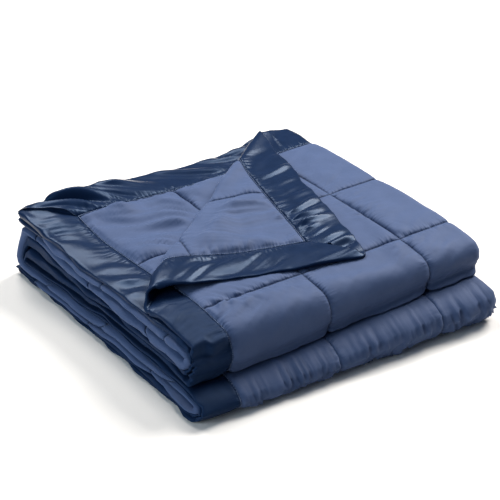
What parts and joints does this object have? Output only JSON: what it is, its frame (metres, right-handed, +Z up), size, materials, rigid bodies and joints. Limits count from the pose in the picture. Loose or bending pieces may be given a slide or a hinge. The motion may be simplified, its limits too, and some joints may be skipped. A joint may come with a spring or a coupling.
{
  "type": "folded down alternative blanket",
  "caption": "Quilted down alternative blanket with a wide satin binding, folded into a flat stack with one corner turned over.",
  "frame": {"origin": "middle of the folded stack's footprint, on the surface that it lies on", "axes": "+X along the two front folds towards the folded end, +Y from the front folds to the back, +Z up through the layers"},
  "size_m": [0.6028, 0.6086, 0.15],
  "materials": {
    "microfibre": "slate blue brushed microfibre shell, softly matte, quilted in large squares",
    "satin": "slate blue satin, soft sheen with puckers at its seam"
  },
  "bodies": {
    "root": {"quilted_cloth": "microfibre", "binding_left": "satin", "binding_right": "satin", "binding_back": "satin", "binding_far": "satin"}
  },
  "joints": []
}
